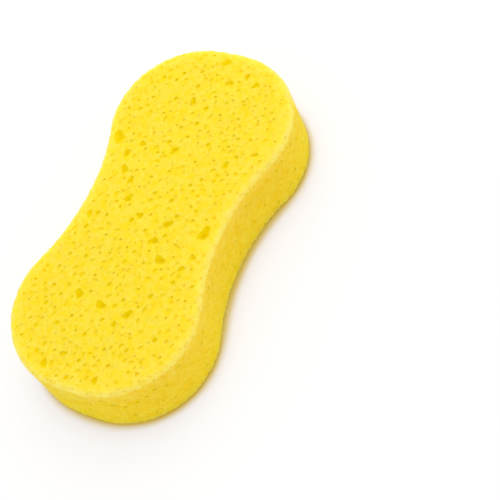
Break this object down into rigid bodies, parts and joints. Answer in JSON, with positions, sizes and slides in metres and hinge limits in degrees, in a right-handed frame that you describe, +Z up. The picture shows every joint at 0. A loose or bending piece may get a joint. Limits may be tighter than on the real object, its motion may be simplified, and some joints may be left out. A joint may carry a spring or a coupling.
{
  "type": "cleaning sponge",
  "caption": "Figure-eight cleaning sponge of yellow open-cell foam, waisted on both sides for the hand, with rounded edges and burst bubbles open at its surface.",
  "frame": {"origin": "middle of the flat underside, on the surface that the sponge lies on", "axes": "+X along the length, from the middle to one rounded end; +Y across the width; +Z up through the thickness"},
  "size_m": [0.2, 0.1, 0.038],
  "materials": {
    "yellow_foam": "matte open-cell polyurethane foam, yellow all through, with a fine cell grain"
  },
  "bodies": {
    "root": {"sponge_body": "yellow_foam"}
  },
  "joints": []
}
